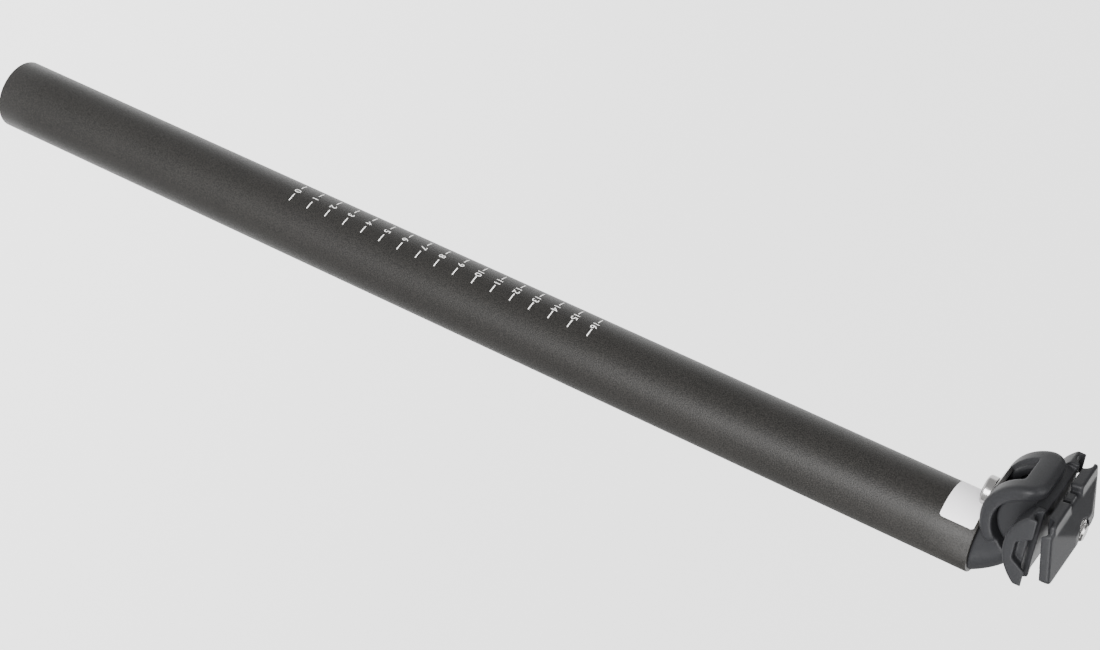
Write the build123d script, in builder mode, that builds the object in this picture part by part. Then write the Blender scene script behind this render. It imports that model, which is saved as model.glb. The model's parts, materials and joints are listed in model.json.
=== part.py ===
from build123d import *
import os

os.makedirs("parts", exist_ok=True)

# Seatpost with a single-bolt rail clamp, in millimetres.
# The origin is the centre of the tube's lower end, +Z runs up the tube,
# +X points to the front of the bicycle and +Y to its left.

# Tube
tube_diameter = 33.9
tube_wall = 2.6
tube_length = 528.3
tube_end_chamfer = 0.6

# Forged head, with its plug in the tube and its cradle behind the tube
plug_length = 42.0
plug_wall = 5.0
plug_gap = 0.1
shoulder_step = 1.25
setback = 24.0
cradle_rise = 21.5
trough_radius = 16.0
seat_wall = 4.0
lobe_wall = 6.0
cradle_half_width = 15.6
cradle_rear_angle = 96.0
cradle_front_angle = 46.0
cradle_rear_corner = 8.0
cradle_front_corner = 5.0
cradle_edge_round = 2.8
neck_top_rise = 16.0
neck_top_shift = 17.0
neck_top_length = 36.0
neck_top_width = 30.6
neck_mid_rise = 8.5
neck_mid_shift = 6.5
neck_mid_length = 32.6
neck_mid_width = 30.0

# Slot for the bolt, and the channel that its washer slides in
slot_half_width = 4.7
slot_front_angle = 17.5
slot_rear_angle = 66.0
channel_half_width = 7.3
channel_front_angle = 21.0

# Clamp bolt, curved washer and threaded insert
bolt_radius = 4.0
bolt_hole_gap = 0.4
bolt_end_height = 18.6
bolt_end_chamfer = 0.8
bolt_head_round = 1.2
bolt_head_radius = 6.5
bolt_head_height = 4.2
bolt_socket_flats = 6.0
bolt_socket_depth = 3.2
washer_gap = 0.3
washer_wall = 1.9
washer_seat_drop = 21.6
washer_half_width = 6.9
washer_front_reach = 6.4
washer_rear_angle = 28.0
insert_radius = 5.4
insert_height = 5.0
insert_chamfer = 0.4
thread_gap = 0.05

# Saddle rails that the clamps hold
rail_radius = 3.5
rail_half_spacing = 21.7
rail_height = 5.8

# Lower clamp
running_gap = 0.3
lower_lip_drop = 1.0
lower_half_width = 25.7
half_moon_half_width = 10.5
bridge_depth = 5.5
wing_front_length = 18.6
wing_rear_length = 17.4
wing_depth = 11.4
wing_tip = 3.6
wing_side_gap = 0.7
wing_edge_round = 0.9
relief_top_width = 18.0
relief_floor_width = 9.0
relief_depth = 6.4
relief_shift = 1.5
relief_round = 2.0
relief_inner = 22.4

# Upper clamp
upper_lift = 4.1
upper_tilt = 9.0
upper_roll = 1.0
upper_half_length = 13.0
upper_half_width = lower_half_width
upper_tip = 4.4
upper_edge_round = 0.8
upper_thickness = 9.0
upper_ridge_half_length = 2.5
upper_ridge_half_width = 8.5
upper_groove_drop = 0.1
upper_corner = 3.0
pad_inner = 5.6
pad_outer = 23.8
pad_reach = 3.3
pad_height = 5.2
pad_round = 1.5
pad_top_round = 1.0
lug_half_width = 2.6
lug_reach = 1.6
lug_height = 4.0
insert_floor = 3.0
insert_gap = 0.05

# Worked out from the sizes above
tube_radius = tube_diameter / 2
bore_radius = tube_radius - tube_wall
trough_z = tube_length + cradle_rise
seat_radius = trough_radius + seat_wall
lobe_radius = trough_radius + lobe_wall
rail_z = trough_z + rail_height
lower_top_z = rail_z - lower_lip_drop
upper_bottom_z = lower_top_z + upper_lift
insert_bottom_z = upper_bottom_z + insert_floor
bolt_end_z = trough_z + bolt_end_height
washer_bottom_z = trough_z - washer_seat_drop
TROUGH = (-setback, trough_z)
UPWARD = (Align.CENTER, Align.MIN)
DOWNWARD = (Align.CENTER, Align.MAX)


def ring_sector(inner, outer, front_angle, rear_angle):
    """Returns a ring sector about the trough's axis, between angles from straight down."""
    start = 270 - rear_angle
    sweep_angle = rear_angle + front_angle
    with BuildSketch(Plane.XZ) as sector:
        with BuildLine():
            outside = CenterArc(TROUGH, outer, start, sweep_angle)
            inside = CenterArc(TROUGH, inner, start, sweep_angle)
            Line(outside @ 0, inside @ 0)
            Line(outside @ 1, inside @ 1)
        make_face()
    return sector.sketch


# Post tube, open at its lower end
with BuildPart() as post_tube:
    with BuildSketch(Plane.XY):
        Circle(tube_radius)
        Circle(bore_radius, mode=Mode.SUBTRACT)
    extrude(amount=tube_length)
    lower_rims = post_tube.edges().group_by(Axis.Z)[0].sort_by(SortBy.RADIUS)
    upper_rims = post_tube.edges().group_by(Axis.Z)[-1]
    chamfer(upper_rims + lower_rims[:1], tube_end_chamfer)
post_tube.part.label = "post_tube"
export_step(post_tube.part, "parts/post_tube.step")

# Forged head: plug, leaning neck and cradle
cradle_ring = ring_sector(trough_radius - 1, lobe_radius, cradle_front_angle, cradle_rear_angle)
channel_ring = ring_sector(seat_radius, 2 * seat_radius, channel_front_angle, slot_rear_angle)
slot_ring = ring_sector(trough_radius / 2, 2 * seat_radius, slot_front_angle, slot_rear_angle)
with BuildPart() as clamp_head:
    extrude(cradle_ring, amount=cradle_half_width, both=True)
    rear_face = clamp_head.faces().filter_by(GeomType.PLANE).sort_by(Axis.X)[0]
    front_face = clamp_head.faces().filter_by(GeomType.PLANE).sort_by(Axis.X)[-1]
    fillet(rear_face.edges().filter_by(Axis.Y, reverse=True), cradle_rear_corner)
    fillet(front_face.edges().filter_by(Axis.Y, reverse=True), cradle_front_corner)
    lobe_face = clamp_head.faces().filter_by(GeomType.CYLINDER).sort_by(SortBy.AREA)[-1]
    fillet(lobe_face.edges().filter_by(Axis.Y, reverse=True), cradle_edge_round)
    with BuildSketch(Plane.XY.offset(tube_length)):
        Circle(tube_radius - shoulder_step)
    with BuildSketch(Plane.XY.offset(tube_length + neck_mid_rise)):
        with Locations((-neck_mid_shift, 0)):
            Ellipse(neck_mid_length / 2, neck_mid_width / 2)
    with BuildSketch(Plane.XY.offset(tube_length + neck_top_rise)):
        with Locations((-neck_top_shift, 0)):
            Ellipse(neck_top_length / 2, neck_top_width / 2)
    loft()
    with BuildSketch(Plane.XZ):
        with Locations(TROUGH):
            Circle(trough_radius)
    extrude(amount=lower_half_width, both=True, mode=Mode.SUBTRACT)
    extrude(channel_ring, amount=channel_half_width, both=True, mode=Mode.SUBTRACT)
    extrude(slot_ring, amount=slot_half_width, both=True, mode=Mode.SUBTRACT)
    with BuildSketch(Plane.XY.offset(tube_length)):
        Circle(bore_radius - plug_gap)
        Circle(bore_radius - plug_gap - plug_wall, mode=Mode.SUBTRACT)
    extrude(amount=-plug_length)
clamp_head.part.label = "clamp_head"
export_step(clamp_head.part, "parts/clamp_head.step")

# Lower clamp: a half-moon in the trough, and a wing with a rail groove on each side
wing_inner = cradle_half_width + wing_side_gap
relief_x = relief_shift - setback
with BuildSketch(Plane.XZ) as half_moon:
    with Locations(TROUGH):
        Circle(trough_radius - running_gap)
    with Locations((-setback, lower_top_z)):
        Rectangle(4 * trough_radius, 2 * trough_radius, align=UPWARD, mode=Mode.SUBTRACT)
with BuildSketch(Plane.XZ) as bridge:
    add(half_moon.sketch_local)
    with Locations((-setback, lower_top_z - bridge_depth)):
        Rectangle(4 * trough_radius, 2 * trough_radius, align=DOWNWARD, mode=Mode.SUBTRACT)
with BuildSketch(Plane.XZ) as wing_profile:
    with BuildLine():
        front_top = (wing_front_length - setback, lower_top_z)
        front_low = (wing_front_length - setback, lower_top_z - wing_tip)
        rear_top = (-wing_rear_length - setback, lower_top_z)
        rear_low = (-wing_rear_length - setback, lower_top_z - wing_tip)
        Line(front_top, front_low)
        ThreePointArc(front_low, (-setback, lower_top_z - wing_depth), rear_low)
        Line(rear_low, rear_top)
        Line(rear_top, front_top)
    make_face()
with BuildSketch(Plane.XZ) as lip_relief:
    with BuildLine():
        Polyline(
            (relief_x - relief_top_width / 2, lower_top_z + relief_depth),
            (relief_x - relief_top_width / 2, lower_top_z),
            (relief_x - relief_floor_width / 2, lower_top_z - relief_depth),
            (relief_x + relief_floor_width / 2, lower_top_z - relief_depth),
            (relief_x + relief_top_width / 2, lower_top_z),
            (relief_x + relief_top_width / 2, lower_top_z + relief_depth),
            close=True,
        )
    make_face()
    fillet(lip_relief.vertices().group_by(Axis.Z)[0], relief_round)
with BuildPart() as lower_rail_clamp:
    extrude(half_moon.sketch, amount=half_moon_half_width, both=True)
    extrude(bridge.sketch, amount=wing_inner, both=True)
    for side in (-1, 1):
        with BuildSketch(Plane.XZ.offset(side * wing_inner)):
            add(wing_profile.sketch_local)
        extrude(amount=side * (lower_half_width - wing_inner))
    for wing_face in lower_rail_clamp.faces().sort_by(Axis.Y)[:: len(lower_rail_clamp.faces()) - 1]:
        fillet(wing_face.edges().sort_by(Axis.Z)[:-1], wing_edge_round)
    with BuildSketch(Plane.YZ.offset(-setback)):
        with Locations((-rail_half_spacing, rail_z), (rail_half_spacing, rail_z)):
            Circle(rail_radius)
    extrude(amount=2 * wing_front_length, both=True, mode=Mode.SUBTRACT)
    for side in (-1, 1):
        with BuildSketch(Plane.XZ.offset(side * relief_inner)):
            add(lip_relief.sketch_local)
        extrude(amount=side * 4 * rail_radius, mode=Mode.SUBTRACT)
    with Locations((-setback, 0, trough_z)):
        Cylinder(bolt_radius + bolt_hole_gap, 4 * trough_radius, mode=Mode.SUBTRACT)
lower_rail_clamp.part.label = "lower_rail_clamp"
export_step(lower_rail_clamp.part, "parts/lower_rail_clamp.step")

# Upper clamp: a plate with a hipped roof, rail grooves below and a threaded insert.
# It lies loose, open at the front and higher on the right, as the bolt is not tightened.
upper_origin = (-setback, 0, upper_bottom_z)
upper_base = Plane(upper_origin).rotated((-upper_roll, -upper_tilt, 0))
upper_side = Plane(upper_origin, x_dir=upper_base.x_dir, z_dir=-upper_base.y_dir)
upper_front = Plane(upper_origin, x_dir=upper_base.y_dir, z_dir=upper_base.x_dir)
with BuildPart() as rear_pads:
    with BuildSketch(upper_base):
        for side in (-1, 1):
            with Locations((-upper_half_length, side * (pad_inner + pad_outer) / 2)):
                RectangleRounded(2 * pad_reach, pad_outer - pad_inner, pad_round)
    extrude(amount=pad_height)
    pad_tops = rear_pads.faces().sort_by(Axis(upper_origin, upper_base.z_dir))[-2:]
    fillet(pad_tops.edges(), pad_top_round)
with BuildPart() as upper_rail_clamp:
    with BuildSketch(upper_side):
        with BuildLine():
            Polyline(
                (-upper_half_length, 0),
                (-upper_half_length, upper_tip),
                (-upper_ridge_half_length, upper_thickness),
                (upper_ridge_half_length, upper_thickness),
                (upper_half_length, upper_tip),
                (upper_half_length, 0),
                close=True,
            )
        make_face()
    extrude(amount=upper_half_width, both=True)
    with BuildSketch(upper_front):
        with BuildLine():
            Polyline(
                (-upper_half_width, 0),
                (-upper_half_width, upper_tip),
                (-upper_ridge_half_width, upper_thickness),
                (upper_ridge_half_width, upper_thickness),
                (upper_half_width, upper_tip),
                (upper_half_width, 0),
                close=True,
            )
        make_face()
    extrude(amount=upper_half_length, both=True, mode=Mode.INTERSECT)
    fillet(upper_rail_clamp.edges().filter_by(Axis(upper_origin, upper_base.z_dir)), upper_corner)
    upper_bottom = upper_rail_clamp.faces().sort_by(Axis(upper_origin, upper_base.z_dir))[0]
    fillet(upper_rail_clamp.edges() - upper_bottom.edges(), upper_edge_round)
    add(rear_pads.part)
    with BuildSketch(upper_base):
        with Locations((-upper_half_length, 0)):
            Rectangle(2 * lug_reach, 2 * lug_half_width)
    extrude(amount=lug_height)
    with BuildSketch(upper_front):
        for side in (-1, 1):
            with Locations((side * rail_half_spacing, -upper_groove_drop)):
                Circle(rail_radius)
    extrude(amount=2 * upper_half_length, both=True, mode=Mode.SUBTRACT)
    with BuildSketch(Plane.XY.offset(insert_bottom_z)):
        with Locations((-setback, 0)):
            Circle(insert_radius + insert_gap)
    extrude(amount=upper_thickness, mode=Mode.SUBTRACT)
    with Locations(upper_origin):
        Cylinder(bolt_radius + bolt_hole_gap, 4 * upper_thickness, mode=Mode.SUBTRACT)
upper_rail_clamp.part.label = "upper_rail_clamp"
export_step(upper_rail_clamp.part, "parts/upper_rail_clamp.step")

# Curved washer under the cradle, with a flat seat for the bolt's head
washer_ring = ring_sector(
    seat_radius + washer_gap,
    seat_radius + washer_gap + washer_wall,
    channel_front_angle,
    washer_rear_angle,
)
with BuildPart() as curved_washer:
    extrude(washer_ring, amount=washer_half_width, both=True)
    with BuildSketch(Plane.XY.offset(washer_bottom_z)):
        with Locations((washer_front_reach - setback, 0)):
            Rectangle(4 * seat_radius, 4 * seat_radius, align=(Align.MAX, Align.CENTER))
    extrude(amount=seat_radius, mode=Mode.INTERSECT)
    with Locations((-setback, 0, washer_bottom_z)):
        Cylinder(bolt_radius + bolt_hole_gap, 4 * washer_wall, mode=Mode.SUBTRACT)
curved_washer.part.label = "curved_washer"
export_step(curved_washer.part, "parts/curved_washer.step")

# Clamp bolt: socket head below the cradle, shank up through both clamps
with BuildPart() as clamp_bolt:
    with BuildSketch(Plane.XY.offset(washer_bottom_z)):
        with Locations((-setback, 0)):
            Circle(bolt_radius)
    extrude(amount=bolt_end_z - washer_bottom_z)
    chamfer(clamp_bolt.edges().group_by(Axis.Z)[-1], bolt_end_chamfer)
    with BuildSketch(Plane.XY.offset(washer_bottom_z)):
        with Locations((-setback, 0)):
            Circle(bolt_head_radius)
    extrude(amount=-bolt_head_height)
    fillet(clamp_bolt.edges().group_by(Axis.Z)[0], bolt_head_round)
    with BuildSketch(Plane.XY.offset(washer_bottom_z - bolt_head_height)):
        with Locations((-setback, 0)):
            RegularPolygon(bolt_socket_flats / 2, 6, major_radius=False)
    extrude(amount=bolt_socket_depth, mode=Mode.SUBTRACT)
clamp_bolt.part.label = "clamp_bolt"
export_step(clamp_bolt.part, "parts/clamp_bolt.step")

# Threaded steel insert in the upper clamp, with its rim below the roof
with BuildPart() as threaded_insert:
    with BuildSketch(Plane.XY.offset(insert_bottom_z)):
        with Locations((-setback, 0)):
            Circle(insert_radius)
            Circle(bolt_radius + thread_gap, mode=Mode.SUBTRACT)
    extrude(amount=insert_height)
    chamfer(threaded_insert.edges().group_by(Axis.Z)[-1], insert_chamfer)
threaded_insert.part.label = "threaded_insert"
export_step(threaded_insert.part, "parts/threaded_insert.step")
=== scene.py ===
"""Looks of a bicycle seatpost: finishes, printed scale, blank label, thread, camera and light.

All lengths are in metres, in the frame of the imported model: the origin is the centre of the
tube's lower end, +Z runs up the tube, +X points to the front and +Y to the left.
"""

import json
import logging
import math
from dataclasses import dataclass
from enum import Enum

import bmesh
import bpy
from mathutils import Matrix, Vector

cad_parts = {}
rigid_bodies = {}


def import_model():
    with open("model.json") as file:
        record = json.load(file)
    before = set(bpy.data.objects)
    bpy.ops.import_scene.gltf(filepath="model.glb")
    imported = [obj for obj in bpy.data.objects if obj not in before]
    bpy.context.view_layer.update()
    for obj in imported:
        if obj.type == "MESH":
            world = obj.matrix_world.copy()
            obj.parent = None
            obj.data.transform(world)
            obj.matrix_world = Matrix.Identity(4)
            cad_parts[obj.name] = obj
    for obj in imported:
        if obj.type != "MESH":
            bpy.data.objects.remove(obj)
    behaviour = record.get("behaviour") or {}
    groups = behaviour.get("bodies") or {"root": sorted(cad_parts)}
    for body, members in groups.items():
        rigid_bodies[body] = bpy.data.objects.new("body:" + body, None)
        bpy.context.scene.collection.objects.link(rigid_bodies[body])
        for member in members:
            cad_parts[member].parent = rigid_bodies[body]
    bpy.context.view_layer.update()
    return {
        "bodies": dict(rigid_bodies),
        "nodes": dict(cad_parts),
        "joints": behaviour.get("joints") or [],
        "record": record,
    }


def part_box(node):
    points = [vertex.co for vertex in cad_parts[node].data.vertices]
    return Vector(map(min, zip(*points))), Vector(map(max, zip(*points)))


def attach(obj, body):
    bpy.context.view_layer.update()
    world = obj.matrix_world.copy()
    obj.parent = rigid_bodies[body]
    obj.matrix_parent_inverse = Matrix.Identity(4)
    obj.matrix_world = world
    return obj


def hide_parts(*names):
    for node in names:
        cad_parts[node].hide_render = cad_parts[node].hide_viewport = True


LOG = logging.getLogger("seatpost")
MM = 0.001
WHITE = (1.0, 1.0, 1.0, 1.0)

# Noise and the painted edge highlight, in object coordinates
GRAIN_SIZE = 900.0
GRAIN_DETAIL = 3.0
CLOUD_SIZE = 30.0
CLOUD_DETAIL = 2.0
EDGE_HIGHLIGHT_WIDTH = 0.0004
EDGE_HIGHLIGHT_NOISE_SIZE = 260.0
EDGE_HIGHLIGHT_TURN = (0.995, 0.9)
EDGE_HIGHLIGHT_BREAK = (0.42, 0.62)
BEVEL_SAMPLES = 6

# Where Blender's mix node keeps its colours
MIX_FACTOR, MIX_FIRST, MIX_SECOND, MIX_RESULT = 0, 6, 7, 2

# How close points are joined
WELD = 0.002 * MM
DEGENERATE = 0.001 * MM
BOLT_WELD = 0.0005 * MM


class Body(Enum):
    """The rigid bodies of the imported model."""

    POST = "post"
    SADDLE_CLAMP = "saddle_clamp"


class Slot(Enum):
    """The material slots of the record."""

    TUBE = "anodised_tube"
    FORGING = "black_forging"
    STEEL = "bright_steel"


# Shader groups that the finishes share


class Nodes:
    """Adds groups, nodes and links to node trees."""

    @staticmethod
    def group(name: str, inputs: dict[str, float],
              outputs: tuple[str, ...]) -> tuple[bpy.types.NodeTree, bpy.types.Node, bpy.types.Node]:
        """Starts a shader group whose sockets are all numbers.

        Args:
            name: The group's name.
            inputs: The inputs' names and default values.
            outputs: The outputs' names.

        Returns:
            The group, its input node and its output node.
        """
        tree = bpy.data.node_groups.new(name, "ShaderNodeTree")
        face = tree.interface
        for label, value in inputs.items():
            face.new_socket(label, in_out="INPUT", socket_type="NodeSocketFloat").default_value = value
        for label in outputs:
            face.new_socket(label, in_out="OUTPUT", socket_type="NodeSocketFloat")
        return tree, tree.nodes.new("NodeGroupInput"), tree.nodes.new("NodeGroupOutput")

    @staticmethod
    def add(tree: bpy.types.NodeTree, kind: str, operation: str | None = None) -> bpy.types.Node:
        """Adds a node.

        Args:
            tree: The node tree.
            kind: The node's Blender type.
            operation: What it works out, for a node that has a choice.

        Returns:
            The node.
        """
        node = tree.nodes.new(kind)
        if operation is not None:
            node.operation = operation
        return node

    @staticmethod
    def join(tree: bpy.types.NodeTree,
             pairs: list[tuple[bpy.types.NodeSocket, bpy.types.NodeSocket]]) -> None:
        """Links pairs of sockets.

        Args:
            tree: The node tree.
            pairs: Each an output and the input that it feeds.
        """
        for source, target in pairs:
            tree.links.new(source, target)

    @staticmethod
    def limit(node: bpy.types.Node, limits: tuple[float, float]) -> None:
        """Sets the range that a map range node reads.

        Args:
            node: The map range node.
            limits: The values that become 0 and 1.
        """
        node.inputs["From Min"].default_value, node.inputs["From Max"].default_value = limits


class ShaderGroups:
    """Builds the shader node groups that several finishes share."""

    @staticmethod
    def grain() -> bpy.types.NodeTree:
        """Builds a fine grain from two noises over object coordinates.

        Returns:
            The node group, with a height for bumps and a speckled tone about 0 to 1.
        """
        inputs = {"Grain size": GRAIN_SIZE, "Cloud size": CLOUD_SIZE, "Speckle": 0.0}
        tree, start, end = Nodes.group("surface_grain", inputs, ("Height", "Tone"))
        place = Nodes.add(tree, "ShaderNodeTexCoord")
        fine = Nodes.add(tree, "ShaderNodeTexNoise")
        fine.inputs["Detail"].default_value = GRAIN_DETAIL
        slow = Nodes.add(tree, "ShaderNodeTexNoise")
        slow.inputs["Detail"].default_value = CLOUD_DETAIL
        centred = Nodes.add(tree, "ShaderNodeMath", "SUBTRACT")
        centred.inputs[1].default_value = 0.5
        speckled = Nodes.add(tree, "ShaderNodeMath", "MULTIPLY_ADD")
        Nodes.join(tree, [
            (place.outputs["Object"], fine.inputs["Vector"]),
            (start.outputs["Grain size"], fine.inputs["Scale"]),
            (place.outputs["Object"], slow.inputs["Vector"]),
            (start.outputs["Cloud size"], slow.inputs["Scale"]),
            (fine.outputs["Fac"], centred.inputs[0]),
            (centred.outputs["Value"], speckled.inputs[0]),
            (start.outputs["Speckle"], speckled.inputs[1]),
            (slow.outputs["Fac"], speckled.inputs[2]),
            (fine.outputs["Fac"], end.inputs["Height"]),
            (speckled.outputs["Value"], end.inputs["Tone"]),
        ])
        return tree

    @staticmethod
    def edge_wear() -> bpy.types.NodeTree:
        """Builds a mask for a painted highlight along sharp edges, broken up by noise.

        Returns:
            The node group, with a mask between 0 and 1.
        """
        inputs = {"Edge width": EDGE_HIGHLIGHT_WIDTH, "Amount": 0.5}
        tree, start, end = Nodes.group("edge_wear", inputs, ("Mask",))
        place = Nodes.add(tree, "ShaderNodeTexCoord")
        surface = Nodes.add(tree, "ShaderNodeNewGeometry")
        rounded = Nodes.add(tree, "ShaderNodeBevel")
        rounded.samples = BEVEL_SAMPLES
        turn = Nodes.add(tree, "ShaderNodeVectorMath", "DOT_PRODUCT")
        edge = Nodes.add(tree, "ShaderNodeMapRange")
        Nodes.limit(edge, EDGE_HIGHLIGHT_TURN)
        noise = Nodes.add(tree, "ShaderNodeTexNoise")
        noise.inputs["Scale"].default_value = EDGE_HIGHLIGHT_NOISE_SIZE
        broken = Nodes.add(tree, "ShaderNodeMapRange")
        Nodes.limit(broken, EDGE_HIGHLIGHT_BREAK)
        product = Nodes.add(tree, "ShaderNodeMath", "MULTIPLY")
        scaled = Nodes.add(tree, "ShaderNodeMath", "MULTIPLY")
        Nodes.join(tree, [
            (start.outputs["Edge width"], rounded.inputs["Radius"]),
            (rounded.outputs["Normal"], turn.inputs[0]),
            (surface.outputs["Normal"], turn.inputs[1]),
            (turn.outputs["Value"], edge.inputs["Value"]),
            (place.outputs["Object"], noise.inputs["Vector"]),
            (noise.outputs["Fac"], broken.inputs["Value"]),
            (edge.outputs["Result"], product.inputs[0]),
            (broken.outputs["Result"], product.inputs[1]),
            (product.outputs["Value"], scaled.inputs[0]),
            (start.outputs["Amount"], scaled.inputs[1]),
            (scaled.outputs["Value"], end.inputs["Mask"]),
        ])
        return tree


@dataclass(frozen=True)
class Finish:
    """One finish: its colours, its shine, its grain and its painted edge highlight."""

    name: str
    base: tuple[float, float, float]
    cloud: tuple[float, float, float]
    roughness: float
    metallic: float
    grain_size: float
    grain_depth: float
    edge_round: float
    # A lighter colour mixed in along sharp edges: a painted edge highlight.
    wear_colour: tuple[float, float, float] = (0.3, 0.3, 0.3)
    wear_amount: float = 0.0
    shine: float = 0.5
    speckle: float = 0.0

    def build(self, grain: bpy.types.NodeTree, edge_highlight_group: bpy.types.NodeTree) -> bpy.types.Material:
        """Builds the material of this finish.

        Args:
            grain: The shared grain group.
            edge_highlight_group: The shared group that paints a highlight along sharp edges.

        Returns:
            The material.
        """
        material = bpy.data.materials.new(self.name)
        material.use_nodes = True
        nodes, links = material.node_tree.nodes, material.node_tree.links
        shader = nodes["Principled BSDF"]
        shader.inputs["Roughness"].default_value = self.roughness
        shader.inputs["Metallic"].default_value = self.metallic
        shader.inputs["Specular IOR Level"].default_value = self.shine
        texture = nodes.new("ShaderNodeGroup")
        texture.node_tree = grain
        texture.inputs["Grain size"].default_value = self.grain_size
        texture.inputs["Speckle"].default_value = self.speckle
        mix = nodes.new("ShaderNodeMix")
        mix.data_type = "RGBA"
        colour_out = mix.outputs[MIX_RESULT]
        mix.inputs[MIX_FIRST].default_value = (*self.base, 1.0)
        mix.inputs[MIX_SECOND].default_value = (*self.cloud, 1.0)
        links.new(texture.outputs["Tone"], mix.inputs[MIX_FACTOR])
        # Painted edge highlight: sharp edges are lightened towards the lighter edge colour.
        if self.wear_amount > 0:
            edges = nodes.new("ShaderNodeGroup")
            edges.node_tree = edge_highlight_group
            edges.inputs["Amount"].default_value = self.wear_amount
            highlighted = nodes.new("ShaderNodeMix")
            highlighted.data_type = "RGBA"
            highlighted.inputs[MIX_SECOND].default_value = (*self.wear_colour, 1.0)
            links.new(colour_out, highlighted.inputs[MIX_FIRST])
            links.new(edges.outputs["Mask"], highlighted.inputs[MIX_FACTOR])
            colour_out = highlighted.outputs[MIX_RESULT]
        links.new(colour_out, shader.inputs["Base Color"])
        bump = nodes.new("ShaderNodeBump")
        bump.inputs["Strength"].default_value = 1.0
        bump.inputs["Distance"].default_value = self.grain_depth
        links.new(texture.outputs["Height"], bump.inputs["Height"])
        if self.edge_round > 0:
            rounded = nodes.new("ShaderNodeBevel")
            rounded.samples = BEVEL_SAMPLES
            rounded.inputs["Radius"].default_value = self.edge_round
            links.new(rounded.outputs["Normal"], bump.inputs["Normal"])
        links.new(bump.outputs["Normal"], shader.inputs["Normal"])
        return material


FINISHES = {
    "tube": Finish(
        name="blasted_anodised_tube", base=(0.0062, 0.0058, 0.0052), cloud=(0.0158, 0.0146, 0.0132),
        roughness=0.46, metallic=0.0, grain_size=1900.0, grain_depth=0.00011, edge_round=0.0,
        shine=0.24, speckle=8.0,
    ),
    "forging": Finish(
        name="satin_black_forging", base=(0.0112, 0.0114, 0.0125), cloud=(0.0158, 0.0161, 0.0176),
        roughness=0.44, metallic=0.0, grain_size=1900.0, grain_depth=0.000035, edge_round=0.0005,
        # Lighter sharp edges: a painted edge highlight.
        wear_colour=(0.10, 0.10, 0.11), wear_amount=0.35, shine=0.15, speckle=3.0,
    ),
    "steel": Finish(
        name="bright_zinc_steel", base=(0.31, 0.305, 0.30), cloud=(0.39, 0.385, 0.38),
        roughness=0.22, metallic=1.0, grain_size=900.0, grain_depth=0.00001, edge_round=0.0002,
    ),
    "print": Finish(
        name="white_print", base=(0.92, 0.91, 0.89), cloud=(0.96, 0.95, 0.93),
        roughness=0.6, metallic=0.0, grain_size=900.0, grain_depth=0.0, edge_round=0.0,
    ),
    "label": Finish(
        name="white_label", base=(0.80, 0.78, 0.80), cloud=(0.84, 0.82, 0.84),
        roughness=0.45, metallic=0.0, grain_size=700.0, grain_depth=0.00001, edge_round=0.0,
    ),
}


class Materials:
    """All materials of the scene, built once."""

    def __init__(self) -> None:
        """Builds the shared groups and one material per finish."""
        grain = ShaderGroups.grain()
        # The second group paints a highlight along sharp edges.
        edge_highlight_group = ShaderGroups.edge_wear()
        self.by_name = {key: finish.build(grain, edge_highlight_group) for key, finish in FINISHES.items()}

    def __getitem__(self, key: str) -> bpy.types.Material:
        """Finds a material.

        Args:
            key: The name of the finish.

        Returns:
            The material.
        """
        return self.by_name[key]


# Helpers for meshes


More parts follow.
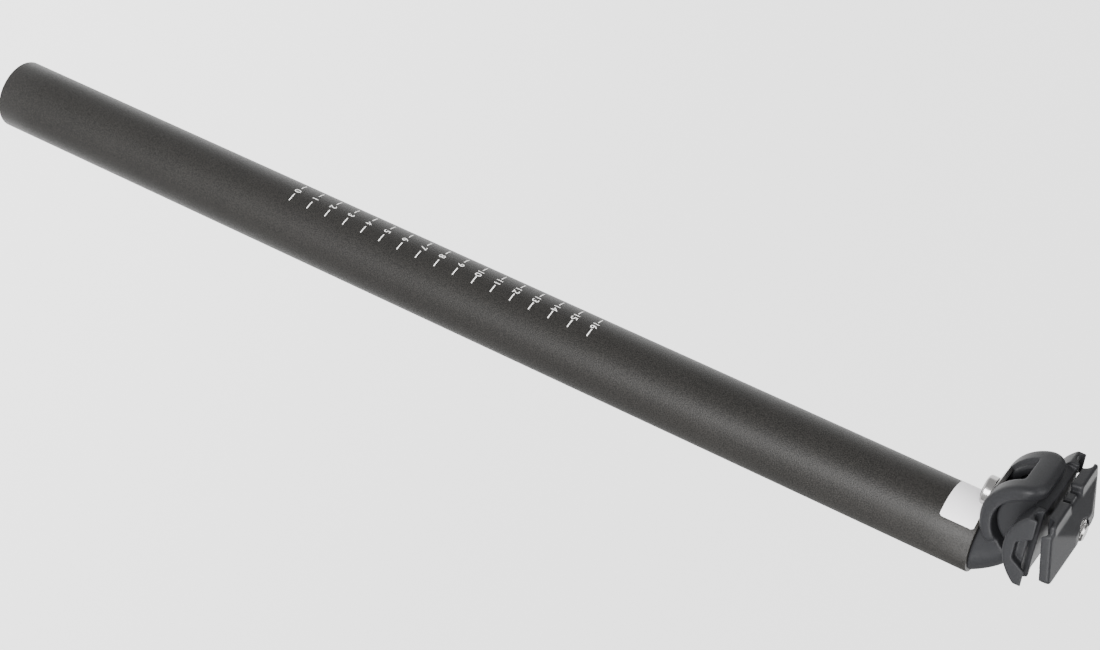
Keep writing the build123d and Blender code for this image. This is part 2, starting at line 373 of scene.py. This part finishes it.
class MeshMaker:
    """Makes finished objects that sit at the origin."""

    @staticmethod
    def show(piece: bpy.types.Object) -> bpy.types.Object:
        """Links an object to the scene.

        Args:
            piece: The object.

        Returns:
            The same object.
        """
        bpy.context.scene.collection.objects.link(piece)
        return piece

    @staticmethod
    def bake(carrier: bpy.types.Object) -> bpy.types.Mesh:
        """Works out an object's modifiers or its text.

        Args:
            carrier: The object.

        Returns:
            A plain mesh of the result.
        """
        bpy.context.view_layer.update()
        ready = carrier.evaluated_get(bpy.context.evaluated_depsgraph_get())
        return bpy.data.meshes.new_from_object(ready)

    @staticmethod
    def close(shape: bmesh.types.BMesh, name: str) -> bpy.types.Mesh:
        """Turns a shape under construction into a mesh.

        Args:
            shape: The shape, which is freed.
            name: The mesh's name.

        Returns:
            The mesh.
        """
        mesh = bpy.data.meshes.new(name)
        shape.to_mesh(mesh)
        shape.free()
        return mesh

    @staticmethod
    def place(mesh: bpy.types.Mesh, name: str, body: Body, slot: Slot | None,
              material: bpy.types.Material, sharp_angle: float = 32.0) -> bpy.types.Object:
        """Turns a mesh into a piece that rides on a body.

        Args:
            mesh: The mesh, in the model's frame.
            name: The piece's name.
            body: The body it rides on.
            slot: The record's slot for its finish, if it has one; not used.
            material: Its material.
            sharp_angle: Edges that turn more than this many degrees stay sharp.

        Returns:
            The new object.
        """
        mesh.materials.clear()
        mesh.materials.append(material)
        mesh.shade_smooth()
        mesh.set_sharp_from_angle(angle=math.radians(sharp_angle))
        piece = MeshMaker.show(bpy.data.objects.new(name, mesh))
        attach(piece, body.value)
        return piece

    @staticmethod
    def lathe(profile: list[tuple[float, float]], segments: int, name: str) -> bpy.types.Mesh:
        """Turns a closed profile about the Z axis.

        Args:
            profile: Points as (radius, height), in order around the section.
            segments: The number of steps around the axis.
            name: The mesh's name.

        Returns:
            The mesh.
        """
        shape = bmesh.new()
        rings = []
        for step in range(segments):
            angle = 2 * math.pi * step / segments
            rings.append([
                shape.verts.new((r * math.cos(angle), r * math.sin(angle), z)) for r, z in profile
            ])
        count = len(profile)
        for step in range(segments):
            here, there = rings[step], rings[(step + 1) % segments]
            for i in range(count):
                j = (i + 1) % count
                shape.faces.new((here[i], there[i], there[j], here[j]))
        bmesh.ops.recalc_face_normals(shape, faces=shape.faces)
        return MeshMaker.close(shape, name)

    @staticmethod
    def patch(radius: float, thickness: float, angles: tuple[float, float],
              heights: tuple[float, float], corner: float, name: str,
              columns: int = 48, rows: int = 12) -> bpy.types.Mesh:
        """Makes a thin patch with rounded corners that lies on the tube.

        Args:
            radius: The tube's radius.
            thickness: How far the patch stands out.
            angles: The first and last angle about Z, in radians.
            heights: The lower and upper edge.
            corner: The corners' radius.
            name: The mesh's name.
            columns: The number of steps round the tube.
            rows: The number of steps up the tube.

        Returns:
            The mesh.
        """
        shape = bmesh.new()
        half_arc = (angles[1] - angles[0]) / 2 * radius
        middle = (angles[1] + angles[0]) / 2
        half_height = (heights[1] - heights[0]) / 2
        centre = (heights[1] + heights[0]) / 2
        grid = []
        for column in range(columns + 1):
            along = -half_arc + 2 * half_arc * column / columns
            inset = max(0.0, abs(along) - (half_arc - corner))
            drop = corner - math.sqrt(max(0.0, corner ** 2 - inset ** 2))
            angle = middle + along / radius
            line = []
            for row in range(rows + 1):
                height = centre + (half_height - drop) * (2 * row / rows - 1)
                reach = radius + thickness
                line.append(shape.verts.new((reach * math.cos(angle), reach * math.sin(angle), height)))
            grid.append(line)
        for column in range(columns):
            for row in range(rows):
                a, b = grid[column], grid[column + 1]
                shape.faces.new((a[row], b[row], b[row + 1], a[row + 1]))
        outline = [edge for edge in shape.edges if edge.is_boundary]
        grown = bmesh.ops.extrude_edge_only(shape, edges=outline)
        for vert in (v for v in grown["geom"] if isinstance(v, bmesh.types.BMVert)):
            flat = math.hypot(vert.co.x, vert.co.y)
            vert.co.x *= (radius - thickness) / flat
            vert.co.y *= (radius - thickness) / flat
        return MeshMaker.close(shape, name)

    @staticmethod
    def welded_copy(node: bpy.types.Object, name: str) -> bpy.types.Mesh:
        """Copies a node's mesh and joins its faces, so that it shades smoothly.

        Args:
            node: The CAD node.
            name: The new mesh's name.

        Returns:
            The copy.
        """
        shape = bmesh.new()
        shape.from_mesh(node.data)
        bmesh.ops.remove_doubles(shape, verts=shape.verts, dist=WELD)
        bmesh.ops.dissolve_degenerate(shape, dist=DEGENERATE, edges=shape.edges)
        return MeshMaker.close(shape, name)

    @staticmethod
    def flatten(piece: bpy.types.Object) -> None:
        """Makes the flat faces of a piece shade flat and its rounded edges smooth.

        Args:
            piece: The piece.
        """
        weigh = piece.modifiers.new("weigh", "WEIGHTED_NORMAL")
        weigh.keep_sharp = True
        mesh = MeshMaker.bake(piece)
        piece.modifiers.remove(weigh)
        piece.data = mesh


# The seatpost's sub-assemblies


@dataclass
class PostTube:
    """The tube, turned finer than the CAD mesh, with softened rims."""

    radius: float
    length: float
    wall: float = 2.6 * MM
    rim: float = 0.6 * MM
    rim_round: float = 0.3
    segments: int = 160
    bands: int = 24

    def build(self, materials: Materials) -> None:
        """Builds the tube.

        Args:
            materials: The scene's materials.
        """
        bore = self.radius - self.wall
        inset = self.rim * self.rim_round
        profile = [
            (self.radius - self.rim, 0.0),
            (self.radius - inset, inset),
            (self.radius, self.rim),
        ]
        for band in range(1, self.bands):
            profile.append((self.radius, self.rim + (self.length - 2 * self.rim) * band / self.bands))
        profile += [
            (self.radius, self.length - self.rim),
            (self.radius - inset, self.length - inset),
            (self.radius - self.rim, self.length),
            (bore + self.rim, self.length),
            (bore, self.length - self.rim),
            (bore, self.rim),
            (bore + self.rim, 0.0),
        ]
        mesh = MeshMaker.lathe(profile, self.segments, "tube_surface")
        piece = MeshMaker.place(mesh, "tube_surface", Body.POST, Slot.TUBE, materials["tube"])
        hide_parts("post_tube")


@dataclass
class InsertionScale:
    """The printed scale: a number in each row, with a tick at each side of it."""

    radius: float
    first_height: float = 172.0 * MM
    pitch: float = 10.25 * MM
    last_number: int = 16
    tick_inner: float = math.radians(9.0)
    tick_outer: float = math.radians(24.0)
    tick_width: float = 0.5 * MM
    tick_steps: int = 8
    digit_height: float = 3.4 * MM
    font_per_digit: float = 1.38
    back: float = math.pi
    lift: float = 0.03 * MM

    def tick(self) -> bpy.types.Object:
        """Makes the pair of ticks that each row repeats.

        Returns:
            An object with both ticks at height zero, not linked to the scene.
        """
        shape = bmesh.new()
        steps = self.tick_steps
        reach = self.radius + self.lift
        for side in (-1, 1):
            low, high = [], []
            for step in range(steps + 1):
                turn = self.tick_inner + (self.tick_outer - self.tick_inner) * step / steps
                angle = self.back + side * turn
                x, y = reach * math.cos(angle), reach * math.sin(angle)
                low.append(shape.verts.new((x, y, -self.tick_width / 2)))
                high.append(shape.verts.new((x, y, self.tick_width / 2)))
            for i in range(steps):
                face = (low[i], low[i + 1], high[i + 1], high[i])
                shape.faces.new(face if side > 0 else face[::-1])
        return bpy.data.objects.new("tick_pair", MeshMaker.close(shape, "tick_pair"))

    def ticks(self, materials: Materials) -> None:
        """Repeats the ticks up the tube with geometry nodes and keeps the plain mesh.

        Args:
            materials: The scene's materials.
        """
        tree = bpy.data.node_groups.new("repeat_ticks", "GeometryNodeTree")
        face = tree.interface
        count = face.new_socket("Rows", in_out="INPUT", socket_type="NodeSocketInt")
        pitch = face.new_socket("Pitch", in_out="INPUT", socket_type="NodeSocketFloat")
        first = face.new_socket("First height", in_out="INPUT", socket_type="NodeSocketFloat")
        single = face.new_socket("Tick pair", in_out="INPUT", socket_type="NodeSocketObject")
        finish = face.new_socket("Finish", in_out="INPUT", socket_type="NodeSocketMaterial")
        face.new_socket("Geometry", in_out="OUTPUT", socket_type="NodeSocketGeometry")
        start = tree.nodes.new("NodeGroupInput")
        end = tree.nodes.new("NodeGroupOutput")
        line = tree.nodes.new("GeometryNodeMeshLine")
        base = tree.nodes.new("ShaderNodeCombineXYZ")
        step = tree.nodes.new("ShaderNodeCombineXYZ")
        source = tree.nodes.new("GeometryNodeObjectInfo")
        spread = tree.nodes.new("GeometryNodeInstanceOnPoints")
        real = tree.nodes.new("GeometryNodeRealizeInstances")
        paint = tree.nodes.new("GeometryNodeSetMaterial")
        Nodes.join(tree, [
            (start.outputs["Rows"], line.inputs["Count"]),
            (start.outputs["First height"], base.inputs["Z"]),
            (start.outputs["Pitch"], step.inputs["Z"]),
            (base.outputs["Vector"], line.inputs["Start Location"]),
            (step.outputs["Vector"], line.inputs["Offset"]),
            (start.outputs["Tick pair"], source.inputs["Object"]),
            (line.outputs["Mesh"], spread.inputs["Points"]),
            (source.outputs["Geometry"], spread.inputs["Instance"]),
            (spread.outputs["Instances"], real.inputs["Geometry"]),
            (real.outputs["Geometry"], paint.inputs["Geometry"]),
            (start.outputs["Finish"], paint.inputs["Material"]),
            (paint.outputs["Geometry"], end.inputs["Geometry"]),
        ])
        carrier = MeshMaker.show(bpy.data.objects.new("tick_rows", bpy.data.meshes.new("tick_rows")))
        pair = MeshMaker.show(self.tick())
        modifier = carrier.modifiers.new("repeat", "NODES")
        modifier.node_group = tree
        for socket, value in (
            (count, self.last_number + 1), (pitch, self.pitch), (first, self.first_height),
            (single, pair), (finish, materials["print"]),
        ):
            modifier[socket.identifier] = value
        mesh = MeshMaker.bake(carrier)
        bpy.data.objects.remove(carrier)
        bpy.data.objects.remove(pair)
        MeshMaker.place(mesh, "scale_ticks", Body.POST, None, materials["print"])

    def wrap(self, x: float, y: float, height: float) -> tuple[float, float, float]:
        """Lays a flat point on the back of the tube.

        Args:
            x: Distance to the right of the middle, seen from behind.
            y: Distance above the row.
            height: The row's height.

        Returns:
            The point on the tube.
        """
        angle = self.back + x / self.radius
        reach = self.radius + self.lift
        return reach * math.cos(angle), reach * math.sin(angle), height + y

    def numbers(self, materials: Materials) -> None:
        """Prints the numbers on the tube.

        Args:
            materials: The scene's materials.
        """
        whole = bmesh.new()
        for number in range(self.last_number + 1):
            curve = bpy.data.curves.new("number", "FONT")
            curve.body = str(number)
            curve.size = self.digit_height * self.font_per_digit
            curve.align_x = "CENTER"
            curve.align_y = "CENTER"
            writer = MeshMaker.show(bpy.data.objects.new("number", curve))
            flat = MeshMaker.bake(writer)
            levels = [v.co.y for v in flat.vertices]
            middle = (min(levels) + max(levels)) / 2
            row = self.first_height + number * self.pitch
            for vert in flat.vertices:
                vert.co = Vector(self.wrap(vert.co.x, vert.co.y - middle, row))
            whole.from_mesh(flat)
            bpy.data.objects.remove(writer)
            bpy.data.meshes.remove(flat)
        mesh = MeshMaker.close(whole, "scale_numbers")
        MeshMaker.place(mesh, "scale_numbers", Body.POST, None, materials["print"])

    def build(self, materials: Materials) -> None:
        """Builds the ticks and the numbers.

        Args:
            materials: The scene's materials.
        """
        self.ticks(materials)
        self.numbers(materials)


@dataclass
class BlankLabel:
    """A blank white label round the back of the tube, near the head."""

    radius: float
    tube_length: float
    end_gap: float = 1.4 * MM
    height: float = 15.5 * MM
    half_angle: float = math.radians(48.0)
    thickness: float = 0.08 * MM
    corner: float = 1.2 * MM

    def build(self, materials: Materials) -> None:
        """Builds the label.

        Args:
            materials: The scene's materials.
        """
        top = self.tube_length - self.end_gap
        mesh = MeshMaker.patch(
            self.radius, self.thickness,
            (math.pi - self.half_angle, math.pi + self.half_angle),
            (top - self.height, top), self.corner, "blank_label",
        )
        MeshMaker.place(mesh, "blank_label", Body.POST, None, materials["label"])


@dataclass
class CastPieces:
    """The forged pieces, their CAD shapes with edges softened as a forging's are.

    Each node is given with its body, the size of its remeshed faces and how often it is smoothed.
    """

    nodes: tuple[tuple[str, Body, float, int], ...] = (
        ("clamp_head", Body.POST, 0.42 * MM, 24),
        ("lower_rail_clamp", Body.SADDLE_CLAMP, 0.27 * MM, 22),
        ("upper_rail_clamp", Body.SADDLE_CLAMP, 0.24 * MM, 45),
    )
    share: float = 0.35
    smoothing: float = 0.5
    sharp_angle: float = 60.0

    def soften(self, mesh: bpy.types.Mesh, voxel: float, passes: int) -> bpy.types.Mesh:
        """Rounds all edges a little by remeshing and smoothing.

        Args:
            mesh: The piece's mesh.
            voxel: The size of the remeshed faces.
            passes: How often the mesh is smoothed.

        Returns:
            The softened mesh.
        """
        carrier = MeshMaker.show(bpy.data.objects.new("soften", mesh))
        remesh = carrier.modifiers.new("remesh", "REMESH")
        remesh.mode = "VOXEL"
        remesh.voxel_size = voxel
        smooth = carrier.modifiers.new("smooth", "SMOOTH")
        smooth.factor = self.smoothing
        smooth.iterations = passes
        fewer = carrier.modifiers.new("fewer", "DECIMATE")
        fewer.ratio = self.share
        softened = MeshMaker.bake(carrier)
        bpy.data.objects.remove(carrier)
        return softened

    def build(self, frame: dict, materials: Materials) -> None:
        """Builds the pieces.

        Args:
            materials: The scene's materials.
        """
        for node, body, voxel, passes in self.nodes:
            mesh = MeshMaker.welded_copy(frame["nodes"][node], node + "_surface")
            mesh = self.soften(mesh, voxel, passes)
            LOG.info("%s softened to %d faces", node, len(mesh.polygons))
            piece = MeshMaker.place(
                mesh, node + "_surface", body, Slot.FORGING, materials["forging"], self.sharp_angle
            )
            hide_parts(node)


@dataclass
class Hardware:
    """The bolt with its thread, the threaded insert and the curved washer."""

    shank_radius: float = 4.0 * MM
    core_radius: float = 3.42 * MM
    thread_pitch: float = 1.25 * MM
    plain_shank: float = 8.0 * MM
    plain_end: float = 2.4 * MM
    run_out: float = 0.4 * MM
    end_chamfer: float = 0.8 * MM
    head_round: float = 1.2 * MM
    head_steps: int = 6
    guard: float = 0.1 * MM
    socket_flats: float = 6.0 * MM
    socket_depth: float = 3.2 * MM
    socket_mouth: float = 3.75 * MM
    segments: int = 96
    thread_steps: int = 28
    thread_half_share: float = 0.46
    crest_share: float = 0.15
    thread_root: float = 0.05 * MM

    def build(self, frame: dict, materials: Materials) -> None:
        """Builds the hardware.

        Args:
            materials: The scene's materials.
        """
        for node in ("curved_washer", "threaded_insert"):
            mesh = MeshMaker.welded_copy(frame["nodes"][node], node + "_surface")
            piece = MeshMaker.place(
                mesh, node + "_surface", Body.SADDLE_CLAMP, Slot.STEEL, materials["steel"]
            )
            MeshMaker.flatten(piece)
            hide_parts(node)
        self.bolt(materials)

    def socket_radius(self, angle: float) -> float:
        """Finds how far the hexagon socket's wall is from the axis.

        Args:
            angle: The angle about the axis, in radians.

        Returns:
            The distance.
        """
        sixth = math.pi / 3
        return self.socket_flats / 2 / math.cos(angle % sixth - sixth / 2)

    def outline(self, low: float, seat: float, high: float,
                head: float) -> list[tuple[float | None, float]]:
        """Lists the bolt's outline from the socket's floor round the head to the end.

        Args:
            low: The height of the head's lower face.
            seat: The height of the head's upper face.
            high: The height of the shank's end.
            head: The head's radius.

        Returns:
            Points as (radius, height), where no radius means the socket's wall.
        """
        points = [(0.0, low + self.socket_depth), (None, low + self.socket_depth), (None, low)]
        points += [(self.socket_mouth, low), (head - self.head_round - self.guard, low)]
        for step in range(self.head_steps + 1):
            turn = math.pi / 2 * step / self.head_steps
            points.append((
                head - self.head_round * (1 - math.sin(turn)),
                low + self.head_round * (1 - math.cos(turn)),
            ))
        first, last = seat + self.plain_shank, high - self.plain_end
        points += [(head, low + self.head_round + self.guard), (head, seat), (self.shank_radius, seat)]
        points += [(self.shank_radius, first), (self.core_radius, first + self.run_out)]
        points += [(self.core_radius, last - self.run_out), (self.shank_radius, last)]
        points += [(self.shank_radius, high - self.end_chamfer)]
        points += [(self.shank_radius - self.end_chamfer, high), (0.0, high)]
        return points

    def bolt(self, materials: Materials) -> None:
        """Builds the bolt's core and its thread.

        Args:
            materials: The scene's materials.
        """
        low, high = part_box("clamp_bolt")
        centre_x, centre_y = (low.x + high.x) / 2, (low.y + high.y) / 2
        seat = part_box("curved_washer")[0].z
        points = self.outline(low.z, seat, high.z, (high.x - low.x) / 2)
        shape = bmesh.new()
        rings = []
        for step in range(self.segments):
            angle = 2 * math.pi * step / self.segments
            ring = []
            for radius, height in points:
                reach = self.socket_radius(angle) if radius is None else radius
                place = (centre_x + reach * math.cos(angle), centre_y + reach * math.sin(angle), height)
                ring.append(shape.verts.new(place))
            rings.append(ring)
        for here, there in zip(rings, rings[1:] + rings[:1], strict=True):
            for i in range(len(points) - 1):
                shape.faces.new((here[i], there[i], there[i + 1], here[i + 1]))
        bmesh.ops.remove_doubles(shape, verts=shape.verts, dist=BOLT_WELD)
        bmesh.ops.recalc_face_normals(shape, faces=shape.faces)
        mesh = MeshMaker.close(shape, "clamp_bolt_surface")
        piece = MeshMaker.place(
            mesh, "clamp_bolt_surface", Body.SADDLE_CLAMP, Slot.STEEL, materials["steel"]
        )
        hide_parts("clamp_bolt")
        first, last = seat + self.plain_shank, high.z - self.plain_end
        self.thread(centre_x, centre_y, first, last, materials)

    def thread(self, centre_x: float, centre_y: float, low: float, high: float,
               materials: Materials) -> None:
        """Builds the helical thread between two heights.

        Args:
            centre_x: Where the bolt's axis stands along X.
            centre_y: Where the bolt's axis stands along Y.
            low: Where the thread starts.
            high: Where the thread ends.
            materials: The scene's materials.
        """
        shape = bmesh.new()
        steps, root = self.thread_steps, self.core_radius - self.thread_root
        turns = (high - low) / self.thread_pitch
        count = int(turns * steps)
        half = self.thread_pitch * self.thread_half_share
        previous = None
        for i in range(count + 1):
            angle = 2 * math.pi * i / steps
            height = low + self.thread_pitch * i / steps
            fade = min(1.0, i / steps, (count - i) / steps)
            crest = self.core_radius + (self.shank_radius - self.core_radius) * fade
            ring = [
                shape.verts.new((
                    centre_x + radius * math.cos(angle),
                    centre_y + radius * math.sin(angle),
                    height + lift,
                ))
                for radius, lift in (
                    (root, -half),
                    (crest, -half * self.crest_share),
                    (crest, half * self.crest_share),
                    (root, half),
                )
            ]
            if previous:
                for a, b, c, d in zip(previous, previous[1:], ring[1:], ring, strict=False):
                    shape.faces.new((a, d, c, b))
            previous = ring
        mesh = MeshMaker.close(shape, "bolt_thread")
        MeshMaker.place(mesh, "bolt_thread", Body.SADDLE_CLAMP, Slot.STEEL, materials["steel"])


# Camera, floor and light


@dataclass(frozen=True)
class Lamp:
    """One soft square light: where it hangs, its side in metres and its power in watts."""

    name: str
    place: tuple[float, float, float]
    size: float
    power: float


LAMPS = (
    Lamp("key", (-0.72, -1.85, 0.65), 1.2, 105.0),
    Lamp("side", (-1.7, 0.3, 1.2), 1.0, 14.0),
    Lamp("roof", (-0.35, -0.1, 1.7), 0.8, 14.0),
    Lamp("rim", (1.0, 1.1, 1.35), 1.0, 12.0),
    Lamp("kicker", (0.22, -0.42, 0.66), 0.3, 3.2),
)


@dataclass
class Studio:
    """The camera at the photograph's angle, a pale floor and soft light.

    Each glow limit is a direction across the floor and where, along it, the glow starts and is full.
    """

    camera_place: tuple[float, float, float] = (-0.6721, -0.7395, 0.7227)
    right: tuple[float, float, float] = (-0.0772, 0.5352, 0.8411)
    up: tuple[float, float, float] = (-0.7817, 0.4911, -0.3844)
    back: tuple[float, float, float] = (-0.6188, -0.6872, 0.3805)
    lens: float = 78.5
    sensor_width: float = 36.0
    view_depth: float = 100.0
    floor_height: float = -0.8
    floor_size: float = 30.0
    floor_tone: float = 0.9
    floor_roughness: float = 0.9
    floor_glow: float = 2.2
    dim_glow: float = 0.4
    glow_limits: tuple[tuple[tuple[float, float, float], float, float], ...] = (
        ((-0.74, 0.67, 0.0), -1.7, -0.65),
        ((0.67, 0.74, 0.0), 0.1, 0.9),
    )
    sky_strength: float = 0.35
    lamp_target: tuple[float, float, float] = (-0.01, 0.0, 0.4)

    def camera(self) -> None:
        """Places the camera."""
        data = bpy.data.cameras.new("camera")
        data.lens = self.lens
        data.sensor_width = self.sensor_width
        data.clip_end = self.view_depth
        camera = MeshMaker.show(bpy.data.objects.new("camera", data))
        turn = Matrix((self.right, self.up, self.back)).transposed().to_4x4()
        camera.matrix_world = Matrix.Translation(self.camera_place) @ turn
        bpy.context.scene.camera = camera

    def floor(self) -> None:
        """Lays a pale floor well below the post, brightest behind it as the camera sees it."""
        half, low = self.floor_size / 2, self.floor_height
        corners = [(-half, -half, low), (half, -half, low), (half, half, low), (-half, half, low)]
        mesh = bpy.data.meshes.new("floor")
        mesh.from_pydata(corners, [], [(0, 1, 2, 3)])
        floor = MeshMaker.show(bpy.data.objects.new("floor", mesh))
        material = bpy.data.materials.new("pale_floor")
        material.use_nodes = True
        tree = material.node_tree
        shader = tree.nodes["Principled BSDF"]
        shader.inputs["Base Color"].default_value = (*[self.floor_tone] * 3, 1.0)
        shader.inputs["Roughness"].default_value = self.floor_roughness
        shader.inputs["Emission Color"].default_value = WHITE
        place = Nodes.add(tree, "ShaderNodeTexCoord")
        glow = Nodes.add(tree, "ShaderNodeMath", "MULTIPLY_ADD")
        glow.inputs[1].default_value = self.floor_glow - self.dim_glow
        glow.inputs[2].default_value = self.dim_glow
        share = Nodes.add(tree, "ShaderNodeMath", "MULTIPLY")
        for slot, (side, first, last) in enumerate(self.glow_limits):
            reach = Nodes.add(tree, "ShaderNodeVectorMath", "DOT_PRODUCT")
            reach.inputs[1].default_value = side
            fade = Nodes.add(tree, "ShaderNodeMapRange")
            fade.interpolation_type = "SMOOTHSTEP"
            Nodes.limit(fade, (first, last))
            Nodes.join(tree, [
                (place.outputs["Object"], reach.inputs[0]),
                (reach.outputs["Value"], fade.inputs["Value"]),
                (fade.outputs["Result"], share.inputs[slot]),
            ])
        Nodes.join(tree, [
            (share.outputs["Value"], glow.inputs[0]),
            (glow.outputs["Value"], shader.inputs["Emission Strength"]),
        ])
        mesh.materials.append(material)

    def hang(self, lamp: Lamp) -> None:
        """Hangs one soft light that points at the post.

        Args:
            lamp: The light.
        """
        data = bpy.data.lights.new(lamp.name, "AREA")
        data.size = lamp.size
        data.energy = lamp.power
        hung = MeshMaker.show(bpy.data.objects.new(lamp.name, data))
        aim = Vector(self.lamp_target) - Vector(lamp.place)
        turn = aim.to_track_quat("-Z", "Y").to_matrix().to_4x4()
        hung.matrix_world = Matrix.Translation(lamp.place) @ turn

    def light(self) -> None:
        """Lights the post from all round, strongest from its right-hand side."""
        world = bpy.data.worlds.new("studio")
        world.use_nodes = True
        sky = world.node_tree.nodes["Background"]
        sky.inputs["Color"].default_value = WHITE
        sky.inputs["Strength"].default_value = self.sky_strength
        bpy.context.scene.world = world
        for lamp in LAMPS:
            self.hang(lamp)

    def build(self) -> None:
        """Builds the camera, the floor and the lights."""
        self.camera()
        self.floor()
        self.light()


def main() -> None:
    """Builds the seatpost's looks in order."""
    logging.basicConfig(level=logging.INFO)
    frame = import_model()
    materials = Materials()
    _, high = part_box("post_tube")
    radius, length = high.x, high.z
    PostTube(radius, length).build(materials)
    LOG.info("tube: radius %.5f, length %.4f", radius, length)
    InsertionScale(radius).build(materials)
    BlankLabel(radius, length).build(materials)
    CastPieces().build(frame, materials)
    Hardware().build(frame, materials)
    Studio().build()


if __name__ == "__main__":
    main()
